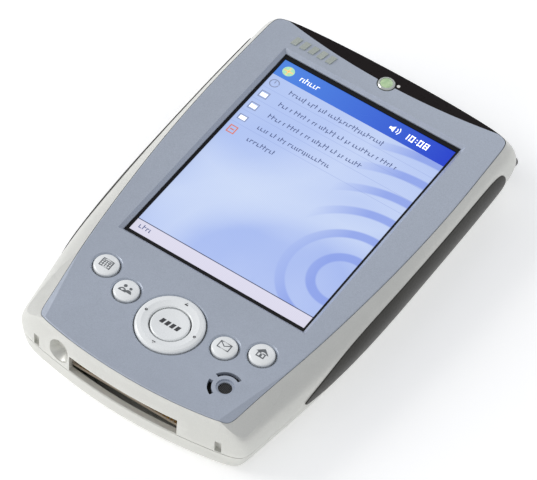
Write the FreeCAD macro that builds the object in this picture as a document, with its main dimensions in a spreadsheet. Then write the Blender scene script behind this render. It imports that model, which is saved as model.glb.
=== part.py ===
import FreeCAD, Part
import Sketcher
import math
import os

# Personal digital assistant, lying on its back.
# Millimetres. x = 0 is the middle of the width and y = 0 the middle of the length, with +Y towards
# the top end. z = 0 is the back, which rests on a table, and +Z points out of the screen.

DOC = FreeCAD.newDocument("pocket_computer")
SHEET = DOC.addObject("Spreadsheet::Sheet", "sizes")
VECTOR = FreeCAD.Vector
UP = VECTOR(0, 0, 1)

SIZES = {
    # outside form
    "half_length": 64.0,
    "half_width": 40.45,
    "face_level": 17.2,
    "plate_thick": 1.3,
    "seam_level": 6.3,
    "seam_gap": 0.22,
    "wall": 1.5,
    "grip_depth": 1.0,
    "grip_proud": 0.3,
    "cap_bottom": 12.6,
    # display
    "window_width": 57.15,
    "window_height": 76.2,
    "window_mid": 12.7,
    "window_bevel": 0.95,
    "view_width": 53.8,
    "view_height": 71.7,
    "glass_width": 60.0,
    "glass_height": 78.6,
    "glass_thick": 1.0,
    "gasket_thick": 0.3,
    "lcd_thick": 1.2,
    "tray_thick": 1.1,
    # face controls
    "app_cap_radius": 3.35,
    "app_hole_radius": 3.75,
    "app_flange_radius": 4.5,
    "outer_app_x": 23.7,
    "outer_app_y": -37.15,
    "inner_app_x": 14.93,
    "inner_app_y": -40.8,
    "nav_mid_y": -43.0,
    "nav_hole_radius": 9.3,
    "nav_ring_radius": 8.95,
    "nav_bore_radius": 5.45,
    "nav_centre_radius": 5.05,
    "nav_pivot_z": 14.6,
    "nav_pin_radius": 0.3,
    "nav_pin_gap": 0.06,
    "power_y": 56.3,
    "power_radius": 2.35,
    "power_hole_radius": 2.65,
    "port_x": 21.9,
    "port_y": -50.6,
    "port_radius": 1.8,
    "port_arc_radius": 4.0,
    "port_arc_width": 1.1,
    # board
    "board_level": 8.2,
    "board_thick": 1.0,
    # bottom end
    "sync_half": 16.4,
    "sync_low": 6.6,
    "sync_high": 12.2,
    "inlet_x": -20.0,
    "inlet_z": 12.4,
    "scoop_radius": 3.1,
    "scoop_depth": 2.7,
    "scoop_low_z": 10.6,
    "inlet_radius": 1.75,
    "inlet_pin_radius": 0.5,
    "latch_slot_x": 27.6,
    "latch_slot_width": 1.8,
    "latch_slot_low": 6.6,
    "latch_slot_high": 10.6,
    # top end
    "cf_width": 42.8,
    "cf_length": 36.4,
    "cf_thick": 5.0,
    "cf_low": 2.5,
    "sd_x": 17.0,
    "sd_width": 24.0,
    "sd_length": 32.0,
    "sd_thick": 2.1,
    "sd_low": 9.65,
    "phone_x": -31.0,
    "phone_z": 5.6,
    "phone_radius": 1.8,
    "card_gap": 0.2,
    # stylus
    "stylus_x": 36.3,
    "stylus_y": 62.9,
    "stylus_z": 5.4,
    "stylus_radius": 2.0,
    "stylus_length": 101.0,
    "stylus_lean": 2.2,
    "silo_wall": 0.5,
    # left edge
    "jog_x": -36.0,
    "jog_y": 32.0,
    "jog_z": 9.8,
    "jog_radius": 4.6,
    "jog_thick": 3.2,
    "jog_axle_radius": 0.8,
    "record_y": 44.5,
    # back
    "battery_width": 54.0,
    "battery_low_y": -54.0,
    "battery_high_y": -2.0,
    "battery_high_z": 6.0,
    "latch_y": 2.6,
    "screw_head_radius": 1.9,
    "screw_shank_radius": 0.9,
    # rubber mat, its plungers and the dome switches under the keys
    "mat_low": 12.55,
    "mat_thick": 0.8,
    "plunger_radius": 1.3,
    "plunger_low": 10.1,
    "dome_radius": 2.3,
    "dome_height": 0.6,
    "key_flange_low": 14.1,
    "key_flange_high": 15.2,
    # gimbal of the navigation pad
    "nav_flange_radius": 9.85,
    "nav_flange_inner": 7.6,
    "gimbal_inner": 6.2,
    "gimbal_outer": 7.1,
    "gimbal_low": 14.2,
    "gimbal_high": 15.0,
    "post_middle": 5.65,
    "post_half_width": 0.9,
    "post_half_thick": 0.3,
    "power_flange_radius": 3.1,
    "lens_radius": 1.7,
    "light_x": 3.0,
    "light_rise": 1.25,
    "light_radius": 0.48,
    # components on the board
    "solder_gap": 0.02,
    "processor_side": 17.0,
    "processor_thick": 1.4,
    "memory_width": 8.0,
    "memory_length": 12.0,
    "memory_thick": 1.1,
    "can_length": 22.0,
    "can_width": 18.0,
    "can_height": 2.4,
    "can_wall": 0.3,
    "can_x": 17.5,
    "can_y": -10.0,
    "cell_radius": 5.0,
    "cell_thick": 1.6,
    "finger_width": 1.6,
    "finger_length": 4.0,
    "finger_height": 1.7,
    "finger_y": -8.0,
    "speaker_radius": 6.0,
    "speaker_thick": 2.2,
    "speaker_low": 13.6,
    "speaker_recess": 0.6,
    "cone_radius": 4.9,
    "microphone_radius": 1.9,
    "microphone_thick": 1.5,
    "board_screw_head": 1.4,
    "board_screw_shank": 0.6,
    # sync connector, power inlet and headphone jack bodies
    "sync_shell_half": 16.9,
    "sync_shell_low": 6.5,
    "sync_shell_high": 12.5,
    "sync_front_y": -60.9,
    "sync_back_y": -56.2,
    "sync_wall": 0.8,
    "sync_pitch": 1.15,
    "inlet_left": 3.6,
    "inlet_right": 2.8,
    "inlet_front_y": -59.1,
    "inlet_back_y": -49.4,
    "inlet_low": 8.0,
    "inlet_high": 15.2,
    "phone_half": 3.0,
    "phone_inner_y": 47.4,
    "phone_outer_y": 61.9,
    "phone_nose_radius": 2.6,
    # card sockets and the eject rod
    "cf_inner_y": 23.6,
    "cf_cage_wall": 1.0,
    "eject_x": 26.6,
    "eject_half": 1.2,
    "eject_low": 4.0,
    "eject_high": 5.3,
    "sd_inner_y": 30.0,
    "sd_wall": 0.8,
    # record and reset buttons
    "record_half": 3.4,
    "record_flange_half": 4.1,
    "reset_x": -14.0,
    "reset_radius": 0.9,
    # battery case and latch
    "battery_wall": 0.9,
    "latch_thumb_half": 5.0,
    "latch_flange_half": 6.8,
    "latch_flange_low": 1.65,
    "latch_flange_high": 2.35,
}


def fill_sheet():
    for row, (alias, value) in enumerate(SIZES.items(), start=1):
        SHEET.set(f"A{row}", alias)
        SHEET.set(f"B{row}", str(value))
        SHEET.setAlias(f"B{row}", alias)
    DOC.recompute()


fill_sheet()


def size(alias):
    """The value of one cell of the sheet, in millimetres or degrees."""
    return float(SHEET.get(alias))


# ---------------------------------------------------------------- helpers

def bind(thing, **expressions):
    """Bind properties to the sheet: bind(box, Length="2 * sizes.view_width")."""
    for prop, expression in expressions.items():
        thing.setExpression(prop, expression)


def place(thing, x="0", y="0", z="0"):
    thing.setExpression("Placement.Base.x", x)
    thing.setExpression("Placement.Base.y", y)
    thing.setExpression("Placement.Base.z", z)


def box(name, length, width, height, x="0", y="0", z="0"):
    """A box centred on x and y, standing on z. All six are sheet expressions."""
    made = DOC.addObject("Part::Box", name)
    bind(made, Length=length, Width=width, Height=height)
    place(made, f"({x}) - ({length}) / 2", f"({y}) - ({width}) / 2", z)
    return made


def rod(name, radius, height, x="0", y="0", z="0"):
    """An upright cylinder standing on z."""
    made = DOC.addObject("Part::Cylinder", name)
    bind(made, Radius=radius, Height=height)
    place(made, x, y, z)
    return made


def cut(name, base, *tools):
    made = DOC.addObject("Part::Cut", name)
    made.Base = base
    made.Tool = tools[0] if len(tools) == 1 else fuse(name + "_tools", *tools)
    return made


def fuse(name, *shapes):
    made = DOC.addObject("Part::MultiFuse", name)
    made.Shapes = list(shapes)
    return made


def group(name, *shapes):
    """Separate solids that share one node, such as a set of screws."""
    made = DOC.addObject("Part::Compound", name)
    made.Links = list(shapes)
    return made


def feature(name, shape):
    made = DOC.addObject("Part::Feature", name)
    made.Shape = shape
    return made


SUBPARTS = []


def subpart(label, thing):
    """Name a finished sub-part; the label is its node and file name."""
    thing.Label = label
    SUBPARTS.append(thing)
    return thing


def body_sketch(body, plane, name, level=0.0):
    """A sketch on one of the body's own origin planes, lifted by level along the plane's normal."""
    sketch = body.newObject("Sketcher::SketchObject", name)
    origin_plane = next(item for item in body.Origin.OriginFeatures if item.Role == plane)
    sketch.AttachmentSupport = [(origin_plane, "")]
    sketch.MapMode = "FlatFace"
    sketch.AttachmentOffset = FreeCAD.Placement(VECTOR(0, 0, level), FreeCAD.Rotation())
    return sketch


def sketch_rectangle(sketch, width, height, mid_x="0", mid_y="0"):
    """A rectangle centred on (mid_x, mid_y), held by four bound dimensions."""
    corners = [VECTOR(-1, -1, 0), VECTOR(1, -1, 0), VECTOR(1, 1, 0), VECTOR(-1, 1, 0)]
    first = sketch.GeometryCount
    for index in range(4):
        sketch.addGeometry(Part.LineSegment(corners[index], corners[(index + 1) % 4]), False)
    for index in range(4):
        joined = Sketcher.Constraint("Coincident", first + index, 2, first + (index + 1) % 4, 1)
        sketch.addConstraint(joined)
    sketch.addConstraint(Sketcher.Constraint("Horizontal", first))
    sketch.addConstraint(Sketcher.Constraint("Horizontal", first + 2))
    sketch.addConstraint(Sketcher.Constraint("Vertical", first + 1))
    sketch.addConstraint(Sketcher.Constraint("Vertical", first + 3))
    wide = sketch.addConstraint(Sketcher.Constraint("DistanceX", first, 1, first, 2, 2.0))
    tall = sketch.addConstraint(Sketcher.Constraint("DistanceY", first + 1, 1, first + 1, 2, 2.0))
    left = sketch.addConstraint(Sketcher.Constraint("DistanceX", -1, 1, first, 1, -1.0))
    low = sketch.addConstraint(Sketcher.Constraint("DistanceY", -1, 1, first, 1, -1.0))
    sketch.setExpression(f"Constraints[{wide}]", width)
    sketch.setExpression(f"Constraints[{tall}]", height)
    sketch.setExpression(f"Constraints[{left}]", f"({mid_x}) - ({width}) / 2")
    sketch.setExpression(f"Constraints[{low}]", f"({mid_y}) - ({height}) / 2")


def sketch_circle(sketch, radius, mid_x="0", mid_y="0"):
    """A circle held by its radius and centre."""
    index = sketch.addGeometry(Part.Circle(VECTOR(0, 0, 0), UP, 1.0), False)
    across = sketch.addConstraint(Sketcher.Constraint("Radius", index, 1.0))
    right = sketch.addConstraint(Sketcher.Constraint("DistanceX", -1, 1, index, 3, 0.0))
    up = sketch.addConstraint(Sketcher.Constraint("DistanceY", -1, 1, index, 3, 0.0))
    sketch.setExpression(f"Constraints[{across}]", radius)
    sketch.setExpression(f"Constraints[{right}]", mid_x)
    sketch.setExpression(f"Constraints[{up}]", mid_y)


def pad(body, sketch, name, height):
    made = body.newObject("PartDesign::Pad", name)
    made.Profile = sketch
    made.setExpression("Length", height)
    DOC.recompute()
    return made


def pocket(body, sketch, name, depth, upward=False):
    """A pocket cuts against its sketch's normal unless upward is set; its volume must drop."""
    before = body.Tip.Shape.Volume
    made = body.newObject("PartDesign::Pocket", name)
    made.Profile = sketch
    made.Reversed = upward
    made.setExpression("Length", depth)
    DOC.recompute()
    if body.Tip.Shape.Volume >= before:
        raise RuntimeError(f"{name} cut nothing")
    return made


# ---------------------------------------------------------------- outside form

# Control points of the right half of the plan outline, from the middle of the bottom end round to
# the middle of the top end: once at the widest level and once where the face meets the sides.
WIDEST_OUTLINE = [
    (0, -64.25), (14, -63.5), (27, -61.6), (32.5, -60.4), (34.6, -58.8),
    (35.2, -55), (36.2, -48), (38.1, -36), (39.6, -22), (40.3, -7),
    (40.45, 6), (40.45, 20), (40.45, 34), (40.3, 46), (40.1, 55),
    (39.9, 59.5), (37.5, 61.6), (30, 62.6), (15, 63.7), (0, 64.15),
]
FACE_OUTLINE = [
    (0, -62.9), (14, -62.2), (24, -60.6), (27.4, -59.8), (28.9, -58.2),
    (29.4, -55), (30.3, -48), (32.4, -36), (34.2, -22), (35.6, -7),
    (36.6, 6), (37.2, 20), (37.35, 34), (37.0, 46), (36.85, 53),
    (36.7, 58.0), (35.0, 59.3), (29, 60.2), (15, 60.9), (0, 61.1),
]
FACE_EDGE_LEVEL = 17.0
# level, share of the widest outline, sideways scale, how far the ends are drawn in
FORM_LEVELS = [
    (0.0, 1.0, 0.93, 1.5),
    (1.6, 1.0, 0.95, 0.5),
    (4.5, 1.0, 0.975, 0.1),
    (9.5, 1.0, 1.0, 0.0),
    (12.7, 0.86, 1.0, 0.0),
    (15.0, 0.50, 1.0, 0.0),
    (FACE_EDGE_LEVEL, 0.0, 1.0, 0.0),
]


def outline_wire(level, share, scale, end_in, grow):
    """A closed smooth curve at one level, grown outwards all round by about grow."""
    grow_x = 1.0 + grow / size("half_width")
    grow_y = 1.0 + (grow - end_in) / size("half_length")
    right = []
    for wide, face in zip(WIDEST_OUTLINE, FACE_OUTLINE):
        x = face[0] + (wide[0] - face[0]) * share
        y = face[1] + (wide[1] - face[1]) * share
        right.append(VECTOR(x * scale * grow_x, y * grow_y, level))
    left = [VECTOR(-point.x, point.y, point.z) for point in reversed(right[1:-1])]
    curve = Part.BSplineCurve()
    curve.buildFromPoles(right + left, True, 3)
    return Part.Wire([curve.toShape()])


def form(grow=0.0):
    """The whole outside form as one solid, or a smaller or larger copy of it."""
    wires = [outline_wire(*level, grow) for level in FORM_LEVELS]
    return Part.makeLoft(wires, True, False)


def block(x_low, x_high, y_low, y_high, z_low, z_high):
    """A plain box between limits, for cutting."""
    return Part.makeBox(x_high - x_low, y_high - y_low, z_high - z_low, VECTOR(x_low, y_low, z_low))


def slab(z_low, z_high):
    """Everything between two levels."""
    return block(-60, 60, -80, 80, z_low, z_high)


def face_prism(grow, z_low, z_high):
    """The face outline carried straight down, from z_high to z_low."""
    wire = outline_wire(z_low, 0.0, 1.0, 0.0, grow)
    return Part.Face(wire).extrude(VECTOR(0, 0, z_high - z_low))


def grip_prism(side, grow=0.0):
    """The banana shape of a side grip, seen square to the side, carried inwards past the wall."""
    points = [
        (-41, 8.6), (-33, 11.4), (-20, 13.6), (0, 13.9), (30, 13.9), (47, 13.9), (52.4, 13.0),
        (52.6, 9.0), (52.4, 5.4), (47, 4.7), (10, 4.6), (-14, 5.0), (-30, 6.4),
    ]
    middle = 9.2
    poles = []
    for y, z in points:
        poles.append(VECTOR(side * 28, y + math.copysign(grow, y), z + math.copysign(grow, z - middle)))
    curve = Part.BSplineCurve()
    curve.buildFromPoles(poles, True, 3)
    return Part.Face(Part.Wire([curve.toShape()])).extrude(VECTOR(side * 16, 0, 0))


def cap_region(shift, z_low):
    """Everything beyond the shallow arc where the top cap begins, above z_low."""
    dip_y = size("power_y") + shift
    wing_y = dip_y + 4.5
    arc = Part.Arc(VECTOR(-40, wing_y, z_low), VECTOR(0, dip_y, z_low), VECTOR(40, wing_y, z_low))
    edges = [arc.toShape()]
    corners = [VECTOR(40, wing_y, z_low), VECTOR(45, 80, z_low), VECTOR(-45, 80, z_low),
               VECTOR(-40, wing_y, z_low)]
    for start, end in zip(corners, corners[1:]):
        edges.append(Part.LineSegment(start, end).toShape())
    return Part.Face(Part.Wire(edges)).extrude(VECTOR(0, 0, 30 - z_low))


def shoulder_wedge(side):
    """The space above the sloping band that widens along each side towards the bottom end."""
    upper = VECTOR(side * 31.9, -37.0, size("face_level"))
    lower = VECTOR(side * 26.1, -60.5, size("face_level"))
    along = (lower - upper).normalize()
    outward = VECTOR(side * abs(along.y), -abs(along.x), 0)
    slope = math.radians(30.0)
    down = outward * math.cos(slope) - UP * math.sin(slope)
    reach = 30.0
    base = [upper - along * reach, upper + along * 60, upper + along * 60 + down * reach,
            upper - along * reach + down * reach]
    lift = outward * math.sin(slope) + UP * math.cos(slope)
    return Part.Face(Part.makePolygon(base + [base[0]])).extrude(lift * 12)


def arc_slot(x, y, radius, width, start, end, z_low, z_high):
    """A curved slot about (x, y), between two angles in degrees."""
    inner = radius - width / 2
    outer = radius + width / 2
    first = math.radians(start)
    last = math.radians(end)
    middle = (first + last) / 2

    def on(ring, angle):
        return VECTOR(x + ring * math.cos(angle), y + ring * math.sin(angle), z_low)

    edges = [
        Part.Arc(on(outer, first), on(outer, middle), on(outer, last)).toShape(),
        Part.LineSegment(on(outer, last), on(inner, last)).toShape(),
        Part.Arc(on(inner, last), on(inner, middle), on(inner, first)).toShape(),
        Part.LineSegment(on(inner, first), on(outer, first)).toShape(),
    ]
    return Part.Face(Part.Wire(edges)).extrude(VECTOR(0, 0, z_high - z_low))


def upright(radius, x, y, z_low, z_high):
    return Part.makeCylinder(radius, z_high - z_low, VECTOR(x, y, z_low))


def along_y(radius, x, z, y_low, y_high):
    return Part.makeCylinder(radius, y_high - y_low, VECTOR(x, y_low, z), VECTOR(0, 1, 0))


def stylus_placement():
    """The stylus stands in its silo with its lower end leaning towards the middle."""
    place_at = VECTOR(size("stylus_x"), size("stylus_y"), size("stylus_z"))
    lean = FreeCAD.Rotation(UP, -size("stylus_lean"))
    return FreeCAD.Placement(place_at, lean)


def stylus_bore(radius):
    """A straight round bore on the stylus axis, open past the top end."""
    made = along_y(radius, 0, 0, -size("stylus_length") - 2.0, 6.0)
    made.Placement = stylus_placement()
    return made


APP_BUTTONS = [
    ("calendar_button", -1, "outer"),
    ("contacts_button", -1, "inner"),
    ("inbox_button", 1, "inner"),
    ("home_button", 1, "outer"),
]


def app_place(side, ring):
    return side * size(ring + "_app_x"), size(ring + "_app_y")


# ---------------------------------------------------------------- casings

CAVITY_FLOOR = 1.5
PLATE_LOW = size("face_level") - size("plate_thick")
SCREW_PLACES = [(-27.6, 4.6), (27.6, 4.6), (-30.2, -51.5), (30.2, -51.5)]
JOG_Y = size("jog_y")
RECORD_Y = size("record_y")


def window_cutter():
    """The window with its bevelled edge: a funnel down to the straight opening."""
    bevel = size("window_bevel")
    half_x = size("window_width") / 2
    half_y = size("window_height") / 2
    middle = size("window_mid")
    top = size("face_level")
    rings = []
    for inset, level in ((-0.2, top + 0.2), (bevel, top - bevel)):
        x = half_x - inset
        y = half_y - inset
        corners = [VECTOR(-x, middle - y, level), VECTOR(x, middle - y, level),
                   VECTOR(x, middle + y, level), VECTOR(-x, middle + y, level)]
        rings.append(Part.makePolygon(corners + [corners[0]]))
    funnel = Part.makeLoft(rings, True, True)
    x = half_x - bevel
    y = half_y - bevel
    straight = block(-x, x, middle - y, middle + y, PLATE_LOW - 1, top - bevel + 0.01)
    return funnel.fuse(straight)


def bevelled_hole(radius, x, y, bevel):
    """A round hole through the face plate with a bevelled mouth."""
    top = size("face_level")
    hole = upright(radius, x, y, PLATE_LOW - 1, top + 1)
    mouth = Part.makeCone(radius, radius + bevel + 0.1, bevel + 0.1, VECTOR(x, y, top - bevel))
    return hole.fuse(mouth)


def make_face_plate():
    top = size("face_level")
    plate = face_prism(-0.14, PLATE_LOW, top)
    rim = [edge for edge in plate.Edges if edge.BoundBox.ZMin > top - 0.01]
    plate = plate.makeFillet(0.35, rim)
    port_x = size("port_x")
    port_y = size("port_y")
    slot_radius = size("port_arc_radius")
    slot_width = size("port_arc_width")
    cutters = [
        cap_region(-0.08, PLATE_LOW - 1),
        window_cutter(),
        bevelled_hole(size("nav_hole_radius"), 0, size("nav_mid_y"), 0.3),
        upright(size("power_hole_radius"), 0, size("power_y"), PLATE_LOW - 1, top + 1),
        upright(size("port_radius"), port_x, port_y, PLATE_LOW - 1, top + 1),
        upright(size("port_radius") + 0.6, port_x, port_y, top - 0.5, top + 1),
        arc_slot(port_x, port_y, slot_radius, slot_width, 60, 155, PLATE_LOW - 1, top + 1),
        arc_slot(port_x, port_y, slot_radius, slot_width, 182, 247, PLATE_LOW - 1, top + 1),
        shoulder_wedge(-1),
        shoulder_wedge(1),
    ]
    for label, side, ring in APP_BUTTONS:
        x, y = app_place(side, ring)
        cutters.append(bevelled_hole(size("app_hole_radius"), x, y, 0.45))
    return plate.cut(cutters)


def scoop_cutters():
    """The funnel that guides the power plug: a little taller than it is wide."""
    x = size("inlet_x")
    radius = size("scoop_radius")
    mouth_y = -62.3
    cutters = []
    for level in (size("scoop_low_z"), size("inlet_z") - 0.6):
        mouth = VECTOR(x, mouth_y, level)
        funnel = Part.makeCone(radius, radius * 0.6, size("scoop_depth"), mouth, VECTOR(0, 1, 0))
        cutters += [funnel, along_y(radius, x, level, -70, mouth_y)]
    return cutters


def bottom_end_cutters():
    """The openings of the bottom end: sync connector, power inlet and two cradle latch slots."""
    half = size("sync_half")
    cutters = [
        block(-half, half, -70, -61.0, size("sync_low"), size("sync_high")),
        along_y(size("inlet_radius") + 0.1, size("inlet_x"), size("inlet_z"), -70, -58),
    ]
    cutters += scoop_cutters()
    for side in (-1, 1):
        x = side * size("latch_slot_x")
        reach = size("latch_slot_width") / 2
        slot = block(x - reach, x + reach, -70, -60.2, size("latch_slot_low"), size("latch_slot_high"))
        cutters.append(slot)
    return cutters


def top_end_cutters():
    """The openings of the top end: both card slots, the headphone jack, the eject rod and stylus."""
    gap = size("card_gap")
    cf_half = size("cf_width") / 2 + gap
    cf_low = size("cf_low")
    sd_half = size("sd_width") / 2 + gap
    sd_mid = size("sd_x")
    sd_low = size("sd_low")
    return [
        block(-cf_half, cf_half, 58, 70, cf_low - gap, cf_low + size("cf_thick") + gap),
        block(sd_mid - sd_half, sd_mid + sd_half, 58, 70, sd_low - gap, sd_low + size("sd_thick") + gap),
        along_y(size("phone_radius") + 0.9, size("phone_x"), size("phone_z"), 58, 70),
        block(size("eject_x") - 1.9, size("eject_x") + 1.9, 58, 70, 3.3, 6.0),
        stylus_bore(size("stylus_radius") + size("silo_wall") + 0.05),
    ]


def left_edge_cutters():
    """The jog wheel's round recess and the record button's opening."""
    wheel = upright(size("jog_radius") + 0.6, size("jog_x"), JOG_Y, 7.4, 12.2)
    thumb = upright(size("jog_radius") + 2.2, size("jog_x") - 3.2, JOG_Y, 7.4, 12.2)
    thumb = thumb.common(block(-60, -38.6, 10, 60, 7.4, 12.2))
    record = block(-45, -36.0, RECORD_Y - 3.7, RECORD_Y + 3.7, 8.0, 11.4)
    return [wheel, thumb, record]


def grip_recess(side):
    """What the grip takes out of the outside of the shells."""
    return grip_prism(side, 0.06).cut(form(-size("grip_depth")))


def make_upper_housing():
    seam = size("seam_level")
    shell = form().common(slab(seam, 20))
    cavity = form(-size("wall")).common(slab(0, PLATE_LOW))
    seat = face_prism(0.0, PLATE_LOW, 20)
    shell = shell.cut([cavity, seat])
    inside = form(-0.4)
    bosses = []
    for x, y in SCREW_PLACES:
        bosses.append(upright(2.2, x, y, seam + 0.05, 12.0).common(inside))
    inlet_x = size("inlet_x")
    bosses.append(block(inlet_x - 3.7, inlet_x + 2.95, -63, -59.2, 7.0, PLATE_LOW).common(inside))
    shell = shell.fuse(bosses)
    cutters = [cap_region(0.0, size("cap_bottom")), grip_recess(-1), grip_recess(1)]
    cutters += [upright(0.75, x, y, 5, 11.5) for x, y in SCREW_PLACES]
    cutters += [upright(size("power_hole_radius"), 0, size("power_y"), 12, 20)]
    cutters += bottom_end_cutters() + top_end_cutters() + left_edge_cutters()
    cutters += [shoulder_wedge(-1), shoulder_wedge(1)]
    return shell.cut(cutters)


def battery_hole(grow, z_low, z_high):
    half = size("battery_width") / 2 + grow
    low = size("battery_low_y") - grow
    high = size("battery_high_y") + grow
    hole = block(-half, half, low, high, z_low, z_high)
    upright_edges = [edge for edge in hole.Edges if abs(edge.tangentAt(0).z) > 0.9]
    return hole.makeFillet(3.0 + grow, upright_edges)


def make_back_cover():
    seam = size("seam_level") - size("seam_gap")
    shell = form().common(slab(-1, seam))
    cavity = form(-size("wall")).common(slab(CAVITY_FLOOR, 12))
    shell = shell.cut(cavity)
    well = battery_hole(1.2, 0.0, seam).cut(battery_hole(0.35, -1, 8))
    sleeves = [upright(2.8, x, y, 0.5, seam).common(form(-0.4)) for x, y in SCREW_PLACES]
    shell = shell.fuse([well] + sleeves)
    head = size("screw_head_radius")
    cutters = [battery_hole(0.35, -1, 8), grip_recess(-1), grip_recess(1)]
    for x, y in SCREW_PLACES:
        cutters.append(upright(head + 0.2, x, y, -1, 2.4))
        cutters.append(upright(size("screw_shank_radius") + 0.15, x, y, -1, 8))
    cutters += top_end_cutters()
    latch_y = size("latch_y")
    cutters.append(block(-5.3, 5.3, latch_y - 2.0, latch_y + 3.8, -1, 2.6))
    cutters.append(block(-4.3, 4.3, latch_y - 6.0, latch_y - 2.9, 1.35, 2.65))
    cutters.append(upright(size("reset_radius") + 0.35, size("reset_x"), latch_y + 1.0, -1, 3))
    return shell.cut(cutters)


def make_top_cap():
    cap = form().common(cap_region(0.08, size("cap_bottom") + 0.06))
    inside = form(-size("wall")).common(slab(0, PLATE_LOW))
    cutters = [
        inside,
        upright(size("power_hole_radius"), 0, size("power_y"), 10, 20),
        upright(size("light_radius") + 0.07, size("light_x"), size("power_y") + size("light_rise"), 10, 20),
    ]
    cap = cap.cut(cutters)
    return max(cap.Solids, key=lambda solid: solid.Volume)


def make_grip(side):
    band = form(size("grip_proud")).cut(form(-size("grip_depth") + 0.04))
    grip = band.common(grip_prism(side))
    if side < 0:
        grip = grip.cut(left_edge_cutters())
    return max(grip.Solids, key=lambda solid: solid.Volume)


def build_casings():
    subpart("face_plate", feature("FacePlate", make_face_plate()))
    subpart("upper_housing", feature("UpperHousing", make_upper_housing()))
    subpart("back_cover", feature("BackCover", make_back_cover()))
    subpart("top_cap", feature("TopCap", make_top_cap()))
    subpart("left_grip", feature("LeftGrip", make_grip(-1)))
    subpart("right_grip", feature("RightGrip", make_grip(1)))


# ---------------------------------------------------------------- display

def build_display():
    middle = "sizes.window_mid"
    under_plate = "sizes.face_level - sizes.plate_thick"
    glass_low = f"({under_plate}) - sizes.gasket_thick - sizes.glass_thick"
    gasket_low = f"({under_plate}) - sizes.gasket_thick"
    frame = box("GasketBlank", "sizes.glass_width - 0.6", "sizes.glass_height - 0.6",
                "sizes.gasket_thick - 0.02", "0", middle, gasket_low + " + 0.01")
    opening = box("GasketOpening", "sizes.view_width", "sizes.view_height", "3", "0", middle,
                  gasket_low + " - 1")
    subpart("display_gasket", cut("DisplayGasket", frame, opening))
    glass = box("TouchPanel", "sizes.glass_width", "sizes.glass_height", "sizes.glass_thick",
                "0", middle, glass_low)
    subpart("touch_panel", glass)
    lcd_low = f"({glass_low}) - sizes.lcd_thick - 0.05"
    lcd = box("LcdPanel", "sizes.glass_width - 2.4", "sizes.glass_height - 2.4", "sizes.lcd_thick",
              "0", middle, lcd_low)
    subpart("lcd_panel", lcd)
    # the tray holds the backlight below the panel and its rim stands round the panel
    tray = DOC.addObject("PartDesign::Body", "BacklightTray")
    tray_level = size("face_level") - size("plate_thick") - size("gasket_thick") - size("glass_thick")
    tray_level -= size("lcd_thick") + size("tray_thick") + 0.05
    base = body_sketch(tray, "XY_Plane", "TrayOutline", tray_level)
    sketch_rectangle(base, "sizes.glass_width", "sizes.glass_height", "0", middle)
    pad(tray, base, "TrayPad", "sizes.tray_thick + sizes.lcd_thick")
    top = body_sketch(tray, "XY_Plane", "TrayRecess", tray_level + size("tray_thick") + size("lcd_thick"))
    sketch_rectangle(top, "sizes.glass_width - 2.2", "sizes.glass_height - 2.2", "0", middle)
    pocket(tray, top, "TrayPocket", "sizes.lcd_thick + 0.05")
    subpart("backlight_tray", tray)
    # a flat ribbon from the tray's lower edge round to the board
    ribbon_x = 6.0
    high = tray_level + 0.7
    low = size("board_level") + size("board_thick")
    edge = size("window_mid") - size("glass_height") / 2
    outer = [(edge - 0.1, high), (edge - 1.2, high), (edge - 2.2, high - 1.0), (edge - 2.2, low + 0.3),
             (edge + 3.5, low + 0.3), (edge + 3.5, low + 0.05), (edge - 2.45, low + 0.05),
             (edge - 2.45, high - 0.9), (edge - 1.1, high + 0.25), (edge - 0.1, high + 0.25)]
    path = [VECTOR(-ribbon_x, y, z) for y, z in outer]
    ribbon = Part.Face(Part.makePolygon(path + [path[0]])).extrude(VECTOR(2 * ribbon_x, 0, 0))
    subpart("display_flex", feature("DisplayFlex", ribbon))


# ---------------------------------------------------------------- board and sockets

CHIP_SEAT = "sizes.board_level + sizes.board_thick + sizes.solder_gap"
BOARD_SCREWS = [(-33.0, 14.0), (30.2, 14.0), (-26.5, -40.0), (26.5, -46.0)]
MEMORY_X = (-21, -10, 1)
FINGER_X = (-6, -2, 2, 6)


def make_board():
    level = size("board_level")
    outline = form(-2.3).common(slab(level, level + size("board_thick")))
    cutters = [
        block(-24.4, 17.9, -70, -55.8, 0, 20),
        block(-24.4, -16.0, -70, -48.6, 0, 20),
        block(-50, -29.4, JOG_Y - 6.6, JOG_Y + 6.6, 0, 20),
        block(-50, -36.0, RECORD_Y - 4.4, RECORD_Y + 4.4, 0, 20),
        block(-50, 50, 60.4, 80, 0, 20),
    ]
    cutters += [upright(2.5, x, y, 0, 20) for x, y in SCREW_PLACES]
    cutters += [upright(0.7, x, y, 0, 20) for x, y in BOARD_SCREWS]
    return outline.cut(cutters)


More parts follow.
